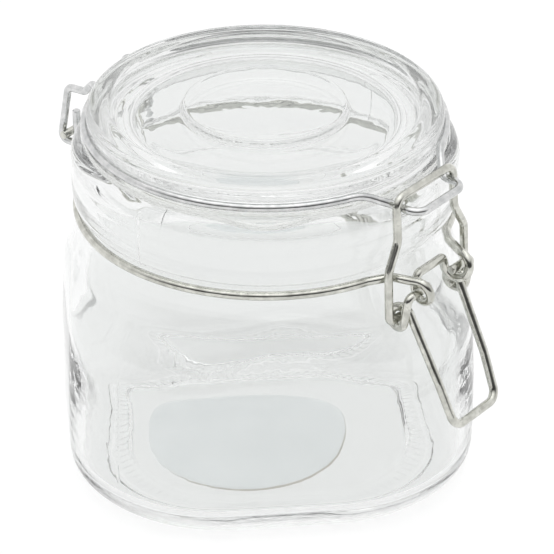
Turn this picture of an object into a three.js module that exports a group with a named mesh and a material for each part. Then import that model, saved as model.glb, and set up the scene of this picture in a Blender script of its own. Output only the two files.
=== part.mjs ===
// A bail clamp jar: a square glass jar with round corners, a glass lid on a rubber gasket, and a wire clasp.
// Millimetres, +Z up. The clasp is on the -Y corner of the body, the lid hinge on the +Y corner, and every
// pivot runs along X. The origin is at the middle of the whole object's outline, on the surface it stands on.
import * as THREE from 'three';

// ---- Driving dimensions -------------------------------------------------------------------------------------
const AXIS_Y = 4.0;             // the jar's own axis, ahead of the origin: the handle reaches further than the hinge

const WALL_HALF = 53.6;         // half the body's width, flat to flat, at its widest
const CORNER_RADIUS = 38;       // plan radius of the body's corners
const WALL = 3.5;               // glass thickness
const FLOOR_Z = 4.65;           // inside of the base
const BAND_RADIUS = 50.2;       // the thick band of the neck, above the neck wire
const NECK_BORE = 42.8;         // inner radius of the neck
const RIM_Z = 89.5;             // the sealing rim

const LID_RADIUS = 46;          // top band of the lid
const LID_TOP = 99;
const LID_FLANGE_Z = 91.9;      // underside of the lid where it presses on the gasket
const PLUG_RADIUS = 41.3;       // part of the lid that hangs inside the neck

const GASKET_INNER = 42.3;
const GASKET_OUTER = 47;
const GASKET_THICK = 1.8;
const TAB_REACH = 4.2;          // how far the pull tab stands out of the gasket
const TAB_HALF_ANGLE = 19;      // degrees
const TAB_ANGLE = -141;         // degrees from +X, beside the clasp

const LABEL_RADIUS = 26.8;
const LABEL_THICK = 0.3;
const LABEL_CENTRE = [-10.2, -1.5];
const RECESS_Z = 1.2;           // height of the shallow recess under the base
const RECESS_HALF = 37;         // half-width of its flat part

const LID_WIRE = 1.05;          // wire radii
const NECK_WIRE = 1.15;
const LINK_WIRE = 1.1;
const LEVER_WIRE = 1.15;
const LID_RING = 46.35;         // centre-line radius of the lid wire
const LID_RING_Z = 93.8;
const NECK_RING = 48.9;         // centre-line radius of the neck wire
const NECK_RING_Z = 70.3;

const HINGE = [58.2, 75.2];     // lid hinge axis: distance behind the jar axis, height
const HOOK_X = 11.4;            // the two hinge hooks of the lid wire
const PIVOT = [56.3, 67.4];     // lever pivot: distance in front of the jar axis, height
const KNUCKLE = [52.6, 60.3];   // where the link hangs in the lever
const LINK_TOP = [50.8, 93.1];  // the link's bar over the nose
const NOSE_TIP = [56.2, 89.9];  // the nose's cross bar, under and beyond the link's bar
const KNEE = [63.9, 44];        // bend in the lever's handle
const HANDLE_END = [68.9, 32.3];
const HANDLE_X = 10.5;          // the handle's legs, where they leave the coils
const CRANK_X = 13.2;           // the crank arms, outside the handle's legs
const LINK_X = 15.9;            // the link's lower legs, outside the crank arms
const LINK_TOP_X = 11.8;        // the link's upper legs
const NOSE_X = 9.5;
const EYE_RADIUS = 3.15;        // centre-line radius of the neck wire's eyes
const COIL_RADIUS = 2.55;       // centre-line radius of the lever's coils

const TURN_STEPS = 64;          // facets round the glass
const WIRE_SIDES = 8;

// ---- Materials ----------------------------------------------------------------------------------------------
const finish = (color, roughness, metalness, extra = {}) =>
  new THREE.MeshStandardMaterial({ color, roughness, metalness, ...extra });
const glass = () => finish(0xdfe9e6, 0.05, 0, { transparent: true, opacity: 0.35 });
const steel = () => finish(0xb9bbb6, 0.25, 1);
const rubber = () => finish(0xe6e6e0, 0.5, 0);
const paper = () => finish(0xe4e7e8, 0.9, 0);

// ---- Turned glass and rubber --------------------------------------------------------------------------------
// Distance from the axis to a rounded square at plan angle phi. half is its half-width, and shift is how far the
// corner arcs' centres lie from the axis: 0 makes it a circle. The corners point along X and Y.
function squareRadius(half, shift, phi) {
  const a = Math.abs(Math.cos(phi - Math.PI / 4));
  const b = Math.abs(Math.sin(phi - Math.PI / 4));
  if (Math.min(a, b) * half <= Math.max(a, b) * shift) return half / Math.max(a, b);
  return shift * (a + b) + Math.sqrt((half - shift) ** 2 - (shift * (a - b)) ** 2);
}

// Revolves a profile of [radius, z, extra] stations, then moves each vertex to radiusAt(station, phi).
function turned(profile, radiusAt = station => station[0]) {
  const geometry = new THREE.LatheGeometry(profile.map(([r, z]) => new THREE.Vector2(r, z)), TURN_STEPS);
  geometry.rotateX(Math.PI / 2);
  const position = geometry.getAttribute('position');
  for (let i = 0; i < position.count; i++) {
    const station = profile[i % profile.length];
    const facet = Math.floor(i / profile.length) % TURN_STEPS;
    const phi = (facet / TURN_STEPS) * 2 * Math.PI;
    const radius = station[0] === 0 ? 0 : radiusAt(station, phi);
    position.setXYZ(i, radius * Math.cos(phi), radius * Math.sin(phi), station[1]);
  }
  geometry.computeVertexNormals();
  return geometry;
}

// Stations on an arc from angle a0 to a1 (degrees), in the (radius, z) plane, with the given extras.
function arc(r, z, radius, a0, a1, steps, extraFrom = 0, extraTo = extraFrom) {
  return Array.from({ length: steps + 1 }, (_, i) => {
    const t = i / steps;
    const a = THREE.MathUtils.degToRad(a0 + (a1 - a0) * t);
    return [r + radius * Math.cos(a), z + radius * Math.sin(a), extraFrom + (extraTo - extraFrom) * t];
  });
}

function jarBody() {
  const shift = WALL_HALF - CORNER_RADIUS;
  const foot = 8;                // rounding between the base and the walls
  const fillet = 5;              // the same inside
  const outside = [
    [0, RECESS_Z, 0], [RECESS_HALF, RECESS_Z, 9], [38.1, 0.4, 9.5], [39, 0, 9.8], [43.6, 0, 11.4],
    [44.3, 0.35, 11.7], ...arc(WALL_HALF - foot, foot, foot, -70, 0, 5, 12.4, shift),
    [WALL_HALF - 0.2, 28, shift], [WALL_HALF - 0.9, 44, shift - 0.8], [52.4, 49, 12.6], [52, 52.5, 8.9],
    [51.3, 55.3, 4.9], [50.3, 57.5, 1.2], [49.3, 60, 0.2], [48.4, 62.5, 0], [47.7, 65.5, 0], [47.4, 68.5, 0],
    [47.5, 72, 0],
    [48.6, 73, 0], [BAND_RADIUS - 0.3, 74.2, 0], [BAND_RADIUS, 76, 0],
    ...arc(BAND_RADIUS - 4, RIM_Z - 4, 4, 0, 90, 4),
  ];
  const inside = [
    ...arc(NECK_BORE + 1.8, RIM_Z - 1.8, 1.8, 90, 180, 3), [NECK_BORE + 0.2, 70, 0],
    [43.2, 68, 0], [43.8, 64, 0.2], [45.1, 60, 1.5], [46.9, 56, 5], [48.5, 52, 9.8], [49.6, 48, 13.2],
    [WALL_HALF - WALL, 43.5, shift - 0.4], [WALL_HALF - WALL, 30, shift],
    ...arc(WALL_HALF - WALL - fillet, FLOOR_Z + fillet, fillet, 0, -90, 5, shift, 13.5), [0, FLOOR_Z, 0],
  ];
  return turned([...outside, ...inside], ([half, , corner], phi) => squareRadius(half, corner, phi));
}

function lidGlass() {
  return turned([
    [0, 94.2], [17, 94.0], [20, 92.6], [34.5, 92.2], [36.8, 90.5], [37.6, 87.4], [38.6, 86.8],
    [PLUG_RADIUS - 0.8, 86.8], [PLUG_RADIUS, 87.8], [PLUG_RADIUS + 0.5, LID_FLANGE_Z],
    [45.6, LID_FLANGE_Z], [46, 92.25], [45.8, 92.6], [45.1, 92.65], [45.1, 94.95], [45.7, 95.05],
    [LID_RADIUS, 95.5], ...arc(LID_RADIUS - 2, LID_TOP - 2, 2, 0, 90, 4).map(([r, z]) => [r, z]),
    [40.6, LID_TOP], [39.4, 98.4], [38.4, 97.1], [34, 96.6], [24.2, 96.6], [22.3, 97.1], [21.4, 98.9],
    [20, LID_TOP], [18, 98.7], [0, 98.4],
  ]);
}

function gasketRing() {
  const low = RIM_Z + 0.3;
  const high = low + GASKET_THICK;
  const edge = 0.4;
  const tab = ([radius], phi) => {
    if (radius < GASKET_OUTER - 1) return radius;
    const from = THREE.MathUtils.radToDeg(phi) - (TAB_ANGLE + 360);
    const swell = Math.abs(from) < TAB_HALF_ANGLE ? Math.cos((from / TAB_HALF_ANGLE) * Math.PI / 2) ** 2 : 0;
    return radius + TAB_REACH * swell;
  };
  return turned([
    [GASKET_INNER, low + edge], [GASKET_INNER + edge, low], [GASKET_OUTER - edge, low],
    [GASKET_OUTER, low + edge], [GASKET_OUTER, high - edge], [GASKET_OUTER - edge, high],
    [GASKET_INNER + edge, high], [GASKET_INNER, high - edge], [GASKET_INNER, low + edge],
  ], tab);
}

// ---- Bent wire ----------------------------------------------------------------------------------------------
// A curve that stops at exactly the stations it is given, so that bends get many and straights get none.
class WireRoute extends THREE.Curve {
  constructor(stations) {
    super();
    this.stations = stations;
  }

  index(t) {
    return Math.round(t * (this.stations.length - 1));
  }

  getPoint(t, target = new THREE.Vector3()) {
    return target.copy(this.stations[this.index(t)]);
  }

  getPointAt(u, target) {
    return this.getPoint(u, target);
  }

  getTangentAt(u, target = new THREE.Vector3()) {
    const i = this.index(u);
    const here = this.stations[i];
    const into = here.clone().sub(this.stations[Math.max(i - 1, 0)]).normalize();
    const out = this.stations[Math.min(i + 1, this.stations.length - 1)].clone().sub(here).normalize();
    return target.copy(into).add(out).normalize();
  }
}

function wire(stations, radius) {
  const section = Array.from({ length: WIRE_SIDES }, (_, i) => {
    const a = ((i + 0.5) / WIRE_SIDES) * 2 * Math.PI;
    return new THREE.Vector2(radius * Math.cos(a), radius * Math.sin(a));
  });
  const path = new WireRoute(stations);
  return new THREE.ExtrudeGeometry(new THREE.Shape(section), {
    steps: stations.length - 1, bevelEnabled: false, extrudePath: path,
  });
}

// Stations of a wire that runs straight between corners [x, y, z, bendRadius]; a corner without one is kept as is.
function bent(corners) {
  const stations = [];
  corners.forEach(([x, y, z, radius = 0], i) => {
    const corner = new THREE.Vector3(x, y, z);
    if (!radius) {
      stations.push(corner);
      return;
    }
    const back = new THREE.Vector3(...corners[i - 1].slice(0, 3)).sub(corner).normalize();
    const ahead = new THREE.Vector3(...corners[i + 1].slice(0, 3)).sub(corner).normalize();
    const turn = Math.PI - back.angleTo(ahead);
    const reach = radius * Math.tan(turn / 2);
    const middle = back.clone().add(ahead).normalize();
    const centre = corner.clone().addScaledVector(middle, Math.hypot(radius, reach));
    const first = corner.clone().addScaledVector(back, reach).sub(centre);
    const axis = new THREE.Vector3().crossVectors(back, ahead).normalize().negate();
    const steps = Math.max(2, Math.ceil(turn / (Math.PI / 7)));
    for (let s = 0; s <= steps; s++) {
      stations.push(first.clone().applyAxisAngle(axis, (turn * s) / steps).add(centre));
    }
  });
  return stations;
}

// A wire that is the same on both sides of the YZ plane: the half with negative x, then its mirror image.
const mirrored = half => [...half, ...half.map(([x, ...rest]) => [-x, ...rest]).reverse()];

// Corners on a ring about the jar's axis, from plan angle a0 to a1 (degrees).
function ringArc(radius, z, a0, a1) {
  const steps = Math.ceil(Math.abs(a1 - a0) / 7.5);
  return Array.from({ length: steps + 1 }, (_, i) => {
    const a = THREE.MathUtils.degToRad(a0 + ((a1 - a0) * i) / steps);
    return [radius * Math.cos(a), radius * Math.sin(a), z];
  });
}

// Corners of a coil about a pivot [distance in front of the axis, height], while x runs from x0 to x1.
function coil([front, height], radius, a0, a1, x0, x1) {
  const steps = Math.ceil(Math.abs(a1 - a0) / 30);
  return Array.from({ length: steps + 1 }, (_, i) => {
    const t = i / steps;
    const a = THREE.MathUtils.degToRad(a0 + (a1 - a0) * t);
    return [x0 + (x1 - x0) * t, -(front + radius * Math.cos(a)), height + radius * Math.sin(a)];
  });
}

// Angle (degrees) at which a straight wire to a far point leaves a coil that turns clockwise.
function leaves([front, height], radius, [farFront, farHeight], side) {
  const toFar = Math.atan2(farHeight - height, farFront - front);
  const spread = Math.acos(radius / Math.hypot(farFront - front, farHeight - height));
  return THREE.MathUtils.radToDeg(toFar + side * spread);
}

function neckWire() {
  const barEnd = 13.6;
  const armX = 3.2;
  return wire(bent(mirrored([
    [-barEnd, HINGE[0], HINGE[1]], [-armX, HINGE[0], HINGE[1], 1.9], [-armX, NECK_RING, NECK_RING_Z, 2.6],
    ...ringArc(NECK_RING, NECK_RING_Z, 98, 250),
    [-12, -50.2, NECK_RING_Z + 0.7, 4],
    ...coil(PIVOT, EYE_RADIUS, 96, -186, -9.4, -6.1),
    [-5.2, -(PIVOT[0] - EYE_RADIUS), NECK_RING_Z - 0.3, 1.4],
  ])), NECK_WIRE);
}

function lidWire() {
  const bottom = HINGE[1] - 2.6;
  return wire(bent(mirrored([
    [-HOOK_X, 55.3, 82.6], [-HOOK_X, 55.3, bottom, 1.9], [-HOOK_X, 61, bottom, 1.9],
    [-HOOK_X, 57.9, 88.9, 2.2], [-11.6, 51.8, 89.6, 1.8], [-12.2, 48.4, 93.1, 1.8],
    ...ringArc(LID_RING, LID_RING_Z, 110, 249.5),
    [-NOSE_X - 0.1, -49.2, 90, 3], [-NOSE_X, -NOSE_TIP[0], NOSE_TIP[1], 2.8],
  ])), LID_WIRE);
}

function bailLink() {
  return wire(bent(mirrored([
    [-9.2, -KNUCKLE[0], KNUCKLE[1]], [-LINK_X, -KNUCKLE[0], KNUCKLE[1], 1.7], [-LINK_X, -52, 74.5, 3],
    [-LINK_TOP_X, -51.6, 81.5, 3], [-LINK_TOP_X, -LINK_TOP[0], LINK_TOP[1], 2.7],
  ])), LINK_WIRE);
}

function leverWire() {
  const crank = leaves(KNUCKLE, COIL_RADIUS, PIVOT, -1);
  const leg = leaves(KNUCKLE, COIL_RADIUS, KNEE, 1);
  return wire(bent(mirrored([
    [-5, -PIVOT[0], PIVOT[1]], [-CRANK_X, -PIVOT[0], PIVOT[1], 1.6],
    ...coil(KNUCKLE, COIL_RADIUS, crank, leg - 360, -CRANK_X, -HANDLE_X),
    [-9.8, -KNEE[0], KNEE[1], 9], [-8.9, -HANDLE_END[0], HANDLE_END[1], 3.4],
  ])), LEVER_WIRE);
}

// ---- Assembly -----------------------------------------------------------------------------------------------
const bailClampJar = new THREE.Group();
bailClampJar.position.y = AXIS_Y;

function place(name, geometry, material) {
  const mesh = new THREE.Mesh(geometry, material);
  mesh.name = name;
  bailClampJar.add(mesh);
  return mesh;
}

place('jar_body', jarBody(), glass());
const label = place('base_label', new THREE.CylinderGeometry(LABEL_RADIUS, LABEL_RADIUS, LABEL_THICK, 48), paper());
label.rotation.x = Math.PI / 2;
label.position.set(...LABEL_CENTRE, RECESS_Z - 0.3 - LABEL_THICK / 2);
place('neck_wire', neckWire(), steel());
place('gasket', gasketRing(), rubber());
place('lid', lidGlass(), glass());
place('lid_wire', lidWire(), steel());
place('bail_link', bailLink(), steel());
place('lever', leverWire(), steel());

export default bailClampJar;
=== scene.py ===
"""Bail clamp jar: a square glass jar with a clamped glass lid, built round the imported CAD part.

Lengths are millimetres in the jar's own frame (jar axis at x = y = 0, +Z up) until a mesh is made; the
meshes are in metres in the row frame, where the jar axis stands AXIS_Y ahead of the origin.
"""
import math

import bpy
from mathutils import Matrix, Vector, noise


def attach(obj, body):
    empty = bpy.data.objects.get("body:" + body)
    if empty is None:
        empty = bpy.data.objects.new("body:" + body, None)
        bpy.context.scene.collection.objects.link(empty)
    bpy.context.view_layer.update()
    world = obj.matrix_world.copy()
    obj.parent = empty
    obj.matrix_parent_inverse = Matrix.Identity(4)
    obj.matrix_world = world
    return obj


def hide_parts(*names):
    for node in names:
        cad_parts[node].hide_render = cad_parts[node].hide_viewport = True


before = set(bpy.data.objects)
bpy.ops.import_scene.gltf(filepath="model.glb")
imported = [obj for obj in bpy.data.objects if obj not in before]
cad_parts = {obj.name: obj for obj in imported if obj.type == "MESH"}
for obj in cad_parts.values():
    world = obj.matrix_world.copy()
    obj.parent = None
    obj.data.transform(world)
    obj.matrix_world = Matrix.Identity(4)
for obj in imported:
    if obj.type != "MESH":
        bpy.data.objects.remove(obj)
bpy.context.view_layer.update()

# ---- Driving dimensions, as in part.mjs but for LABEL_CENTRE and FLOOR_Z ---------------------------------
MM = 0.001
AXIS_Y = 4.0

WALL_HALF = 53.6
CORNER_RADIUS = 38
WALL = 3.5
BAND_RADIUS = 50.2
NECK_BORE = 42.8
RIM_Z = 89.5
FLOOR_Z = 4.6             # in the middle of the jar's floor

LID_RADIUS = 46
LID_TOP = 99
LID_FLANGE_Z = 91.9
PLUG_RADIUS = 41.3

GASKET_INNER = 42.3
GASKET_OUTER = 47
GASKET_THICK = 1.8
TAB_REACH = 4.2
TAB_HALF_ANGLE = 19
TAB_ANGLE = -141

LABEL_RADIUS = 26.8
LABEL_THICK = 0.3
LABEL_CENTRE = (-9.3, -0.7)
RECESS_Z = 1.2
RECESS_HALF = 37

LID_WIRE = 1.05
NECK_WIRE = 1.15
LINK_WIRE = 1.1
LEVER_WIRE = 1.15
LID_RING = 46.35
LID_RING_Z = 93.8
NECK_RING = 48.9
NECK_RING_Z = 70.3

HINGE = (58.2, 75.2)
HOOK_X = 11.4
PIVOT = (56.3, 67.4)
KNUCKLE = (52.6, 60.3)
LINK_TOP = (50.8, 93.1)
NOSE_TIP = (56.2, 89.9)
KNEE = (63.9, 44)
HANDLE_END = (68.9, 32.3)
HANDLE_X = 10.5
CRANK_X = 13.2
LINK_X = 15.9
LINK_TOP_X = 11.8
NOSE_X = 9.5
EYE_RADIUS = 3.15
COIL_RADIUS = 2.55

# ---- Detail that only the visual model has ---------------------------------------------------------------
TURN_STEPS = 240          # divisions round the glass
SEAM_STEPS = (-1.1, -0.7, -0.45, -0.25, -0.12, 0.12, 0.25, 0.45, 0.7, 1.1)   # degrees off each mould seam
SEAM_HEIGHT = 0.14
SEAM_WIDTH = 0.22
STIPPLE_COUNT = 112       # knurls of the bearing ring
STIPPLE_DEPTH = 0.10
STIPPLE_HALF = 40.2       # middle of the knurled band, and its reach to each side
STIPPLE_REACH = 2.0
STIPPLE_ROWS = (37.9, 43)  # the rows between these are knurled
STIPPLE_FINE = 3          # extra divisions of the rows that carry them
WIRE_SIDES = 18
SHADOW_EDGE_SHIFT = (0.3, 0.75)     # the painted shadow along the sticker's edge lies opposite to this

# ---- Camera and stage ------------------------------------------------------------------------------------
TARGET = Vector((0, AXIS_Y, 50)) * MM
VIEW_DISTANCE = 0.8
VIEW_AZIMUTH = -51.06     # degrees, 0 looks along +Y
VIEW_ELEVATION = 30.63
LENS = 197
SHIFT = (0.0213, -0.0200)


# ---- Small geometry helpers ------------------------------------------------------------------------------
def mix(a, b, t):
    return tuple(p + (q - p) * t for p, q in zip(a, b))


def chaikin(points, rounds=2, closed=False):
    """Rounds the corners of a row of stations by cutting them, twice as fine each time."""
    for _ in range(rounds):
        ends = zip(points, points[1:] + points[:1]) if closed else zip(points, points[1:])
        cut = [mix(a, b, t) for a, b in ends for t in (0.25, 0.75)]
        points = cut if closed else [points[0]] + cut[1:-1] + [points[-1]]
    return points


def arc(r, z, radius, a0, a1, steps, extra_from=0.0, extra_to=None):
    """Stations (r, z, extra) on an arc from angle a0 to a1 in degrees."""
    extra_to = extra_from if extra_to is None else extra_to
    stations = []
    for i in range(steps + 1):
        t = i / steps
        a = math.radians(a0 + (a1 - a0) * t)
        extra = extra_from + (extra_to - extra_from) * t
        stations.append((r + radius * math.cos(a), z + radius * math.sin(a), extra))
    return stations


def square_radius(half, shift, phi):
    """Distance from the axis to a rounded square at plan angle phi, corners along X and Y."""
    a = abs(math.cos(phi - math.pi / 4))
    b = abs(math.sin(phi - math.pi / 4))
    if min(a, b) * half <= max(a, b) * shift:
        return half / max(a, b)
    return shift * (a + b) + math.sqrt((half - shift) ** 2 - (shift * (a - b)) ** 2)


def ripple(phi, z, turns, length, seed):
    """Smooth value near -1..1 that wanders round the axis and along it."""
    return noise.noise(Vector((turns * math.cos(phi), turns * math.sin(phi), z / length + seed)))


def base_angles(seams=()):
    angles = {i * 360 / TURN_STEPS for i in range(TURN_STEPS)}
    for seam in seams:
        angles |= {(seam + step) % 360 for step in SEAM_STEPS}
    return [math.radians(a) for a in sorted(angles)]


def finer(angles, count):
    ring = angles + [angles[0] + 2 * math.pi]
    return [a + (b - a) * k / count for a, b in zip(ring, ring[1:]) for k in range(count)]


# ---- Meshes ----------------------------------------------------------------------------------------------
def make_piece(name, verts, faces, material, body, node, slot, uvs=None):
    """Adds a piece from jar-frame millimetres, on its body and in place of its CAD node."""
    mesh = bpy.data.meshes.new(name)
    mesh.from_pydata([(x * MM, (y + AXIS_Y) * MM, z * MM) for x, y, z in verts], [], faces)
    mesh.validate()
    if uvs:
        layer = mesh.uv_layers.new(name="UVMap")
        for loop in mesh.loops:
            layer.data[loop.index].uv = uvs[loop.vertex_index]
    mesh.shade_smooth()
    mesh.materials.append(material)
    piece = bpy.data.objects.new(name, mesh)
    bpy.context.collection.objects.link(piece)
    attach(piece, body)
    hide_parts(node)
    return piece


def turned(rows, closed=False):
    """Vertices and faces of a turned shape. A row is a list of points, or one point on the axis."""
    verts, starts = [], []
    for row in rows:
        starts.append((len(verts), len(row)))
        verts += row
    faces = []
    pairs = list(zip(starts, starts[1:])) + ([(starts[-1], starts[0])] if closed else [])
    for (a, na), (b, nb) in pairs:
        if na == 1:
            faces += [(a, b + (i + 1) % nb, b + i) for i in range(nb)]
        elif nb == 1:
            faces += [(a + i, a + (i + 1) % na, b) for i in range(na)]
        elif nb >= na:
            k = nb // na
            for i in range(na):
                outer = [b + (k * i + j) % nb for j in range(k, -1, -1)]
                faces.append((a + i, a + (i + 1) % na, *outer))
        else:
            k = na // nb
            for i in range(nb):
                inner = [a + (k * i + j) % na for j in range(k + 1)]
                faces.append((*inner, b + (i + 1) % nb, b + i))
    return verts, faces


def ring_row(angles, radius_at, z_at):
    return [(radius_at(p) * math.cos(p), radius_at(p) * math.sin(p), z_at(p)) for p in angles]


# ---- Glass jar -------------------------------------------------------------------------------------------
def seam_ridge(phi):
    """The mould seams stand on the +X and -X corners."""
    off = math.asin(max(-1.0, min(1.0, math.sin(phi)))) * 50
    return SEAM_HEIGHT * math.exp(-((off / SEAM_WIDTH) ** 2))


def stipple(phi, half):
    """How far the bearing ring is cut back between its knurls."""
    across = max(0.0, 1 - abs(half - STIPPLE_HALF) / STIPPLE_REACH)
    return STIPPLE_DEPTH * min(1.0, 2 * across) * (0.5 - 0.5 * math.cos(STIPPLE_COUNT * phi))


def neck_bore():
    """Stations down the bore of the neck, with the shallow rings that pressing leaves."""
    heights = [85.5 - 0.8 * i for i in range(20)]
    return [(NECK_BORE + 0.012 * (86 - z) + 0.07 * math.sin(1.9 * z), z, 0) for z in heights]


def jar_rows():
    shift = WALL_HALF - CORNER_RADIUS
    foot = 8
    bowl = 5
    outside = chaikin([
        (0, RECESS_Z, 0), (30, RECESS_Z, 7), (RECESS_HALF, RECESS_Z, 9), (38.1, 0.4, 9.5), (38.9, 0.05, 9.8),
        (40.2, 0, 10.2), (41.6, 0, 10.8), (43.6, 0, 11.4), (44, 0.05, 11.6),
        (44.3, 0.35, 11.7), (44.7, 0.42, 11.8),
        *arc(WALL_HALF - foot, foot, foot, -70, 0, 7, 12.4, shift),
        (WALL_HALF, 18, shift), (WALL_HALF - 0.2, 30, shift), (WALL_HALF - 0.9, 43, shift - 0.8),
        (52.4, 49, 12.6),
        (52, 52.5, 8.9), (51.3, 55.3, 4.9), (50.3, 57.5, 1.2), (49.3, 60, 0.2), (48.4, 62.5, 0),
        (47.7, 65.5, 0),
        (47.4, 68.5, 0), (47.3, 71.4, 0), (47.9, 72.6, 0), (49.4, 73.4, 0), (50.0, 74.6, 0), (50.15, 77, 0),
        (50.3, 79, 0), (50.3, 80.6, 0), (50.12, 82.2, 0), (50.12, 84.5, 0),
        *arc(BAND_RADIUS - 4, RIM_Z - 4, 4, 0, 90, 5),
    ])
    inside = chaikin([
        *arc(NECK_BORE + 1.8, RIM_Z - 1.8, 1.8, 90, 180, 4), *neck_bore(),
        (43.1, 67, 0), (43.7, 62.5, 0.2), (45.0, 58.1, 1.5), (46.7, 53.7, 5), (48.2, 49.7, 9.8),
        (49.3, 45.7, 13.2),
        (WALL_HALF - WALL, 40.8, shift - 0.4), (WALL_HALF - WALL, 32, shift),
        (WALL_HALF - WALL, 20, shift),
        *arc(WALL_HALF - WALL - bowl, FLOOR_Z + 0.1 + bowl, bowl, 0, -90, 6, shift, 13.5),
        (30, FLOOR_Z + 0.05, 9), (0, FLOOR_Z, 0),
    ])
    coarse = base_angles(seams=(0, 180))
    fine = finer(coarse, STIPPLE_FINE)
    rows = []
    for half, z, corner in outside:
        if half == 0:
            rows.append([(0, 0, z)])
            continue
        knurled = z < 0.6 and STIPPLE_ROWS[0] < half < STIPPLE_ROWS[1]
        seam = 1.0 if 72 < z < 88 else 0.2 if 8 < z < 88 else 0.0

        def radius_at(phi):
            wave = 0.05 * ripple(phi, z, 2.4, 40, 3.1) * min(1, z / 12)
            return square_radius(half, corner, phi) + wave + seam * seam_ridge(phi)

        rows.append(ring_row(fine if knurled else coarse, radius_at,
                             lambda phi: z + (stipple(phi, half) if knurled else 0)))
    for half, z, corner in inside:
        if half == 0:
            rows.append([(0, 0, z)])
            continue
        calm = min(1, half / 30)

        def radius_at(phi):
            wave = 0.07 * ripple(phi, z, 2.6, 26, 9.7) + 0.008 * ripple(phi, z, 11, 70, 5.3)
            return square_radius(half, corner, phi) + wave * calm * min(1.0, max(0.0, (89 - z) / 8))

        rows.append(ring_row(coarse, radius_at,
                             lambda phi: z + 0.04 * (1 - min(1, z / 12)) * ripple(phi, half, 1.5, 20, 1.9)))
    return rows


# ---- Glass lid, gasket, sticker --------------------------------------------------------------------------
def lid_rows():
    profile = chaikin([
        (0, 92.9), (8, 92.9), (18, 92.8), (28, 92.5), (34.5, 92.1), (36.8, 90.5), (37.5, 87.6),
        (38.3, 86.8), (39.4, 86.7), (40.7, 86.9), (PLUG_RADIUS, 87.8), (PLUG_RADIUS + 0.4, 91.2),
        (PLUG_RADIUS + 0.9, LID_FLANGE_Z), (43.5, LID_FLANGE_Z), (45.3, LID_FLANGE_Z), (46, 92.05),
        (45.9, 92.55),
        (45.2, 92.75), (45.05, 93.4), (45.05, 94.3), (45.2, 94.9), (45.8, 95.1), (LID_RADIUS, 95.6),
        *[(r, z) for r, z, _ in arc(LID_RADIUS - 2, LID_TOP - 2, 2, 0, 90, 5)],
        (42, LID_TOP), (40.9, 98.95), (40.1, 98.8), (39.4, 98.4), (36.5, 97.4), (34, 96.75),
        (33.2, 96.6), (32.2, 96.55),
        (24, 96.6), (21.9, 96.65), (21.5, 96.8), (21.3, 97.4), (21.2, 98.4), (20.9, 98.75), (20.2, 98.8),
        (19.4, 98.7), (14, 98.6), (0, 98.5),
    ])
    angles = base_angles()
    rows = []
    for radius, z in profile:
        if radius == 0:
            rows.append([(0, 0, z)])
            continue
        under = z < 95 and radius < 36.5

        def lift(phi):
            if under:
                return z + 0.02 * ripple(phi, radius, 2.2, 9, 7.7) * min(1, radius / 10)
            return z + 0.012 * ripple(phi, radius, 1.8, 14, 2.2) * min(1, (46 - radius) / 8)

        rows.append(ring_row(angles, lambda phi: radius, lift))
    return rows


def gasket_rows():
    low = RIM_Z + 0.3
    high = low + GASKET_THICK
    loop = chaikin([
        (GASKET_INNER, low), (43.8, low), (44.6, low), (45.4, low), (46.2, low), (GASKET_OUTER, low),
        (GASKET_OUTER, high), (46.2, high), (45.4, high), (44.6, high), (43.8, high), (GASKET_INNER, high),
    ], closed=True)
    angles = base_angles()

    def tab(radius):
        def radius_at(phi):
            off = (math.degrees(phi) - TAB_ANGLE + 180) % 360 - 180
            if abs(off) >= TAB_HALF_ANGLE or radius < 44.4:
                return radius
            share = min(1.0, (radius - 44.4) / (GASKET_OUTER - 44.4))
            return radius + TAB_REACH * share * math.cos(math.radians(90 * off / TAB_HALF_ANGLE)) ** 2
        return radius_at

    return [ring_row(angles, tab(r), lambda phi: z) for r, z in loop]


def label_mesh():
    top = RECESS_Z - 0.3
    bottom = top - LABEL_THICK
    profile = [(0, bottom), *[(r, bottom) for r in (5, 10, 15, 20, 23, 25)],
               (LABEL_RADIUS - 0.08, bottom), (LABEL_RADIUS, bottom + 0.08), (LABEL_RADIUS, top - 0.08),
               (LABEL_RADIUS - 0.08, top), *[(r, top) for r in (25, 23, 20, 15, 10, 5)], (0, top)]
    angles = base_angles()
    rows = []
    for radius, z in profile:
        if radius == 0:
            rows.append([(*LABEL_CENTRE, z)])
            continue
        curl = 0.12 * (radius / LABEL_RADIUS) ** 4
        circle = ring_row(angles, lambda phi: radius, lambda phi: z)
        rows.append([(LABEL_CENTRE[0] + x, LABEL_CENTRE[1] + y,
                      z + curl * ripple(math.atan2(y, x), 0, 1.2, 1, 0.6)) for x, y, _ in circle])
    return turned(rows)


# ---- Bent wire -------------------------------------------------------------------------------------------
def bent(corners):
    """Stations of a wire: straight between corners (x, y, z[, bend radius]), finely round the bends."""
    stations = []
    for i, (x, y, z, *bend) in enumerate(corners):
        corner = Vector((x, y, z))
        if not bend:
            stations.append(corner)
            continue
        back = (Vector(corners[i - 1][:3]) - corner).normalized()
        ahead = (Vector(corners[i + 1][:3]) - corner).normalized()
        turn = math.pi - back.angle(ahead)
        reach = bend[0] * math.tan(turn / 2)
        centre = corner + (back + ahead).normalized() * math.hypot(bend[0], reach)
        first = corner + back * reach - centre
        axis = -back.cross(ahead).normalized()
        steps = max(4, math.ceil(turn / math.radians(5)))
        for s in range(steps + 1):
            stations.append(Matrix.Rotation(turn * s / steps, 3, axis) @ first + centre)
    return stations


def mirrored(half):
    return half + [(-x, *rest) for x, *rest in reversed(half)]


def ring_arc(radius, z, a0, a1):
    steps = math.ceil(abs(a1 - a0) / 1.5)
    angles = [math.radians(a0 + (a1 - a0) * i / steps) for i in range(steps + 1)]
    return [(radius * math.cos(a), radius * math.sin(a), z) for a in angles]


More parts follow.
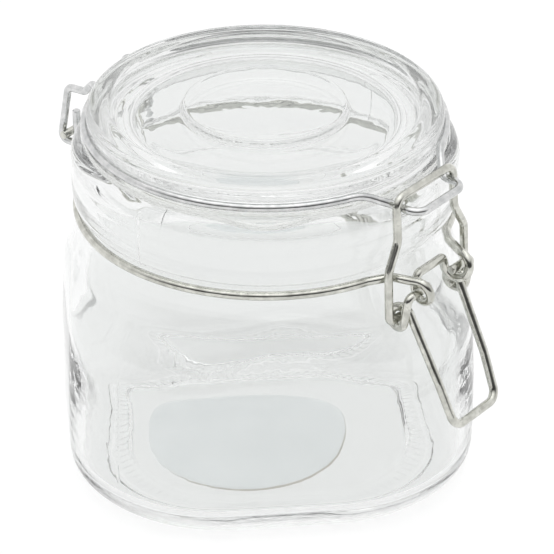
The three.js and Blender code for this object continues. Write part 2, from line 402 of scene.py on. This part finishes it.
def coil(centre, radius, a0, a1, x0, x1):
    front, height = centre
    steps = math.ceil(abs(a1 - a0) / 8)
    turns = []
    for i in range(steps + 1):
        t = i / steps
        a = math.radians(a0 + (a1 - a0) * t)
        turns.append((x0 + (x1 - x0) * t, -(front + radius * math.cos(a)), height + radius * math.sin(a)))
    return turns


def leaves(centre, radius, far, side):
    """Angle in degrees at which a straight wire to a far point leaves a coil."""
    to_far = math.atan2(far[1] - centre[1], far[0] - centre[0])
    spread = math.acos(radius / math.hypot(far[0] - centre[0], far[1] - centre[1]))
    return math.degrees(to_far + side * spread)


def spaced(stations, longest=2.5):
    """Adds stations so that no straight is longer than that, and drops doubled ones."""
    out = [stations[0]]
    for here in stations[1:]:
        gap = (here - out[-1]).length
        if gap < 0.02:
            continue
        steps = max(1, math.ceil(gap / longest))
        start = out[-1]
        out += [start.lerp(here, k / steps) for k in range(1, steps + 1)]
    return out


def wire_mesh(stations, radius):
    """A round wire with softly broken cut ends, and UVs of turn and length for its drawn finish."""
    path = spaced(stations)
    tangents = []
    for i in range(len(path)):
        into = (path[i] - path[max(i - 1, 0)]).normalized()
        out = (path[min(i + 1, len(path) - 1)] - path[i]).normalized()
        tangents.append((into + out).normalized())
    normal = tangents[0].orthogonal().normalized()
    rings = []
    length = 0.0
    for i, (point, tangent) in enumerate(zip(path, tangents)):
        if i:
            length += (point - path[i - 1]).length
            normal = (tangents[i - 1].rotation_difference(tangent) @ normal).normalized()
        rings.append((point, tangent, normal.copy(), radius, length))
    edge = 0.3
    ends = []
    for (point, tangent, across, _, at), sign in ((rings[0], -1), (rings[-1], 1)):
        ends.append([(point + tangent * sign * edge * math.sin(a), tangent, across,
                      radius - edge * (1 - math.cos(a)), at)
                     for a in (math.radians(30), math.radians(60), math.radians(90))])
    rings = ends[0][::-1] + rings + ends[1]
    verts, uvs, faces = [], [], []
    for point, tangent, across, size, at in rings:
        side = tangent.cross(across)
        for k in range(WIRE_SIDES):
            a = 2 * math.pi * k / WIRE_SIDES
            verts.append(tuple(point + size * (math.cos(a) * across + math.sin(a) * side)))
            uvs.append((k / WIRE_SIDES, at / 10))
    for i in range(len(rings) - 1):
        for k in range(WIRE_SIDES):
            a, b = i * WIRE_SIDES + k, i * WIRE_SIDES + (k + 1) % WIRE_SIDES
            faces.append((a, b, b + WIRE_SIDES, a + WIRE_SIDES))
    faces.append(tuple(range(WIRE_SIDES))[::-1])
    faces.append(tuple(range(len(verts) - WIRE_SIDES, len(verts))))
    return verts, faces, uvs


def neck_wire():
    return wire_mesh(bent(mirrored([
        (-13.6, *HINGE), (-3.2, *HINGE, 1.9), (-3.2, NECK_RING, NECK_RING_Z, 2.6),
        *ring_arc(NECK_RING, NECK_RING_Z, 98, 250), (-12, -50.2, NECK_RING_Z + 0.7, 4),
        *coil(PIVOT, EYE_RADIUS, 96, -186, -9.4, -6.1),
        (-5.2, -(PIVOT[0] - EYE_RADIUS), NECK_RING_Z - 0.3, 1.4),
    ])), NECK_WIRE)


def lid_wire():
    bottom = HINGE[1] - 2.6
    return wire_mesh(bent(mirrored([
        (-HOOK_X, 55.3, 82.6), (-HOOK_X, 55.3, bottom, 1.9), (-HOOK_X, 61, bottom, 1.9),
        (-HOOK_X, 57.9, 88.9, 2.2), (-11.6, 51.8, 89.6, 1.8), (-12.2, 48.4, 93.1, 1.8),
        *ring_arc(LID_RING, LID_RING_Z, 110, 244), (*ring_arc(LID_RING, LID_RING_Z, 249.5, 249.6)[0], 12),
        (-NOSE_X - 0.1, -49.2, 90, 3.6),
        (-NOSE_X, -NOSE_TIP[0], NOSE_TIP[1], 3.4),
    ])), LID_WIRE)


def link_wire():
    return wire_mesh(bent(mirrored([
        (-9.2, -KNUCKLE[0], KNUCKLE[1]), (-LINK_X, -KNUCKLE[0], KNUCKLE[1], 1.7), (-LINK_X, -52, 74.5, 5),
        (-LINK_TOP_X, -51.6, 81.5, 5), (-LINK_TOP_X, -LINK_TOP[0], LINK_TOP[1], 3),
    ])), LINK_WIRE)


def lever_wire():
    crank = leaves(KNUCKLE, COIL_RADIUS, PIVOT, -1)
    leg = leaves(KNUCKLE, COIL_RADIUS, KNEE, 1)
    return wire_mesh(bent(mirrored([
        (-5, -PIVOT[0], PIVOT[1]), (-CRANK_X, -PIVOT[0], PIVOT[1], 1.6),
        *coil(KNUCKLE, COIL_RADIUS, crank, leg - 360, -CRANK_X, -HANDLE_X),
        (-9.8, -KNEE[0], KNEE[1], 9), (-8.9, -HANDLE_END[0], HANDLE_END[1], 3.4),
    ])), LEVER_WIRE)


# ---- Materials -------------------------------------------------------------------------------------------
def new_material(name, **values):
    material = bpy.data.materials.new(name)
    material.use_nodes = True
    shader = material.node_tree.nodes["Principled BSDF"]
    for socket, value in values.items():
        shader.inputs[socket.replace("_", " ")].default_value = value
    return material, material.node_tree, shader


def add_noise(tree, scale, detail=3.0, stretch=(1, 1, 1), coordinates="Object"):
    """A noise texture on stretched coordinates, in metres for Object coordinates."""
    place = tree.nodes.new("ShaderNodeTexCoord")
    mapping = tree.nodes.new("ShaderNodeMapping")
    mapping.inputs["Scale"].default_value = stretch
    texture = tree.nodes.new("ShaderNodeTexNoise")
    texture.inputs["Scale"].default_value = scale
    texture.inputs["Detail"].default_value = detail
    tree.links.new(place.outputs[coordinates], mapping.inputs["Vector"])
    tree.links.new(mapping.outputs["Vector"], texture.inputs["Vector"])
    return texture.outputs["Fac"]


def add_range(tree, source, low, high, start=0.3, end=0.7, smooth=False):
    node = tree.nodes.new("ShaderNodeMapRange")
    node.interpolation_type = "SMOOTHSTEP" if smooth else "LINEAR"
    for socket, value in (("From Min", start), ("From Max", end), ("To Min", low), ("To Max", high)):
        node.inputs[socket].default_value = value
    tree.links.new(source, node.inputs["Value"])
    return node.outputs["Result"]


def add_math(tree, operation, first, second):
    node = tree.nodes.new("ShaderNodeMath")
    node.operation = operation
    tree.links.new(first, node.inputs[0])
    tree.links.new(second, node.inputs[1])
    return node.outputs["Value"]


def add_blend(tree, source, first, second):
    node = tree.nodes.new("ShaderNodeMix")
    node.data_type = "RGBA"
    node.inputs["A"].default_value = (*first, 1)
    node.inputs["B"].default_value = (*second, 1)
    tree.links.new(source, node.inputs["Factor"])
    return node.outputs["Result"]


def add_bump(tree, shader, source, distance, strength=1.0):
    node = tree.nodes.new("ShaderNodeBump")
    node.inputs["Distance"].default_value = distance
    node.inputs["Strength"].default_value = strength
    tree.links.new(source, node.inputs["Height"])
    tree.links.new(node.outputs["Normal"], shader.inputs["Normal"])


def glass(name, tint):
    """Pressed glass: clear, with the faint ripple and orange peel of a mould's surface."""
    material, tree, shader = new_material(
        name, Base_Color=(*tint, 1), Transmission_Weight=1.0, IOR=1.5, Roughness=0.0)
    add_bump(tree, shader, add_noise(tree, 120, detail=2), 0.00006)
    return material


def steel(name, dark, light):
    """Bright drawn wire: fine lines along its length, dull patches and small specks."""
    material, tree, shader = new_material(name, Metallic=1.0)
    lines = add_noise(tree, 1.0, detail=4, stretch=(46, 1.6, 1), coordinates="UV")
    patches = add_noise(tree, 420, detail=3)
    specks = add_noise(tree, 1300, detail=5)
    dull = add_range(tree, specks, 1, 0.2, 0.52, 0.74)
    worn = add_math(tree, "MULTIPLY", add_range(tree, patches, 0, 1), dull)
    tree.links.new(add_blend(tree, worn, dark, light), shader.inputs["Base Color"])
    tree.links.new(add_range(tree, lines, 0.06, 0.17), shader.inputs["Roughness"])
    add_bump(tree, shader, lines, 0.00002)
    return material


def rubber(name):
    """Clear silicone, slightly cloudy, with a fine matt skin."""
    material, tree, shader = new_material(
        name, Transmission_Weight=1.0, IOR=1.41)
    cloud = add_noise(tree, 260, detail=3)
    tint = add_blend(tree, cloud, (0.93, 0.935, 0.92), (0.97, 0.97, 0.96))
    tree.links.new(tint, shader.inputs["Base Color"])
    tree.links.new(add_range(tree, cloud, 0.02, 0.08), shader.inputs["Roughness"])
    add_bump(tree, shader, add_noise(tree, 1500, detail=2), 0.00002)
    return material


def paper(name):
    """Uncoated sticker paper: soft mottling, short fibres and a painted shadow along its edge on one side.
    """
    # The faint bluish emission is a painted glow that lifts the sticker where little light reaches it
    # through the glass.
    material, tree, shader = new_material(name, Emission_Color=(0.92, 0.96, 1, 1), Emission_Strength=0.2)
    mottle = add_noise(tree, 90, detail=5)
    fibres = add_noise(tree, 2600, detail=4, stretch=(1, 0.35, 1))
    face = add_blend(tree, add_range(tree, mottle, 0, 1), (0.80, 0.81, 0.815), (0.86, 0.865, 0.87))
    # Painted shadow: the rim turns brown on one side, where the sticker's edge casts shade.
    place = tree.nodes.new("ShaderNodeTexCoord")
    reach = tree.nodes.new("ShaderNodeVectorMath")
    reach.operation = "DISTANCE"
    centre = Vector((LABEL_CENTRE[0] + SHADOW_EDGE_SHIFT[0], LABEL_CENTRE[1] + SHADOW_EDGE_SHIFT[1] + AXIS_Y, 0))
    reach.inputs[1].default_value = centre * MM
    tree.links.new(place.outputs["Object"], reach.inputs[0])
    edge = tree.nodes.new("ShaderNodeMix")
    edge.data_type = "RGBA"
    edge.inputs["B"].default_value = (0.42, 0.37, 0.30, 1)
    tree.links.new(face, edge.inputs["A"])
    shadow_rim = add_range(tree, reach.outputs["Value"], 0, 1, LABEL_RADIUS * MM, (LABEL_RADIUS + 0.5) * MM,
                    smooth=True)
    tree.links.new(shadow_rim, edge.inputs["Factor"])
    tree.links.new(edge.outputs["Result"], shader.inputs["Base Color"])
    tree.links.new(add_range(tree, fibres, 0.75, 0.95), shader.inputs["Roughness"])
    add_bump(tree, shader, fibres, 0.00006)
    return material


# ---- Stage -----------------------------------------------------------------------------------------------
def toward_camera():
    a, e = math.radians(VIEW_AZIMUTH), math.radians(VIEW_ELEVATION)
    return Vector((math.sin(a) * math.cos(e), -math.cos(a) * math.cos(e), math.sin(e)))


def add_camera():
    data = bpy.data.cameras.new("photo_camera")
    data.sensor_width = 36
    data.lens = LENS
    data.shift_x, data.shift_y = SHIFT
    data.clip_start = 0.01
    camera = bpy.data.objects.new("photo_camera", data)
    bpy.context.collection.objects.link(camera)
    out = toward_camera()
    camera.location = TARGET + out * VIEW_DISTANCE
    camera.rotation_euler = out.to_track_quat("Z", "Y").to_euler()
    bpy.context.scene.camera = camera


def add_floor():
    half = 4.0
    mesh = bpy.data.meshes.new("floor")
    corners = [(-half, -half, 0), (half, -half, 0), (half, half, 0), (-half, half, 0)]
    mesh.from_pydata(corners, [], [(0, 1, 2, 3)])
    material, _, _ = new_material("floor_white", Base_Color=(0.25, 0.25, 0.25, 1), Roughness=0.9,
                                  Emission_Color=(1, 1, 1, 1), Emission_Strength=0.75)
    mesh.materials.append(material)
    floor = bpy.data.objects.new("floor", mesh)
    bpy.context.collection.objects.link(floor)


def add_world():
    """A bright studio: white behind the jar, brighter overhead, greyer on the camera's side. Mirror
    reflections see that side darker still, which draws the dark lines along the wires."""
    world = bpy.data.worlds.new("studio")
    bpy.context.scene.world = world
    world.use_nodes = True
    tree = world.node_tree
    background = tree.nodes["Background"]
    background.inputs["Color"].default_value = (1, 1, 1, 1)
    place = tree.nodes.new("ShaderNodeTexCoord")
    front = toward_camera()
    facing = tree.nodes.new("ShaderNodeVectorMath")
    facing.operation = "DOT_PRODUCT"
    facing.inputs[1].default_value = Vector((front.x, front.y, 0)).normalized()
    tree.links.new(place.outputs["Generated"], facing.inputs[0])
    axes = tree.nodes.new("ShaderNodeSeparateXYZ")
    tree.links.new(place.outputs["Generated"], axes.inputs[0])
    side = add_range(tree, facing.outputs["Value"], 0, 1, -0.1, 0.75, smooth=True)
    above = add_range(tree, axes.outputs["Z"], 0, 1, -0.12, 0.06, smooth=True)
    below = add_range(tree, axes.outputs["Z"], 1, 0, 0.42, 0.72, smooth=True)
    dark = add_math(tree, "MULTIPLY", add_math(tree, "MULTIPLY", above, below), side)
    path = tree.nodes.new("ShaderNodeLightPath")
    depth = add_range(tree, path.outputs["Is Glossy Ray"], 0.6, 0.92, 0, 1)
    light = add_range(tree, add_math(tree, "MULTIPLY", dark, depth), 1, 0, 0, 1)
    lamp = add_range(tree, axes.outputs["Z"], 0, 0.7, 0.7, 1.0, smooth=True)
    strength = add_math(tree, "ADD", light, lamp)
    seen = add_math(tree, "MAXIMUM", strength, path.outputs["Is Camera Ray"])
    tree.links.new(seen, background.inputs["Strength"])


# ---- Scene -----------------------------------------------------------------------------------------------
add_camera()
add_floor()
add_world()

jar_glass = glass("jar_glass", (0.89, 0.898, 0.894))
lid_glass = glass("lid_glass", (0.89, 0.898, 0.894))
clasp_steel = steel("clasp_steel", (0.46, 0.46, 0.42), (0.71, 0.71, 0.66))
lid_steel = steel("lid_steel", (0.52, 0.53, 0.53), (0.75, 0.75, 0.75))

make_piece("glass_jar", *turned(jar_rows()), jar_glass, "jar", "jar_body", "jar_glass")
make_piece("glass_lid", *turned(lid_rows()), lid_glass, "lid_unit", "lid", "lid_glass")
make_piece("silicone_gasket", *turned(gasket_rows(), closed=True), rubber("gasket_silicone"), "lid_unit",
           "gasket", "gasket_rubber")
make_piece("paper_sticker", *label_mesh(), paper("label_paper"), "jar", "base_label", "label_paper")
for name, (verts, faces, uvs), material, body, node, slot in (
        ("neck_hoop_wire", neck_wire(), clasp_steel, "jar", "neck_wire", "clasp_steel"),
        ("lid_hoop_wire", lid_wire(), lid_steel, "lid_unit", "lid_wire", "lid_steel"),
        ("clamp_link_wire", link_wire(), clasp_steel, "link_unit", "bail_link", "clasp_steel"),
        ("clamp_lever_wire", lever_wire(), clasp_steel, "lever_unit", "lever", "clasp_steel")):
    make_piece(name, verts, faces, material, body, node, slot, uvs)

scene = bpy.context.scene
scene.view_settings.view_transform = "Standard"
scene.cycles.max_bounces = 24
scene.cycles.transmission_bounces = 24
scene.cycles.diffuse_bounces = 3
scene.cycles.glossy_bounces = 24
scene.cycles.blur_glossy = 0.0
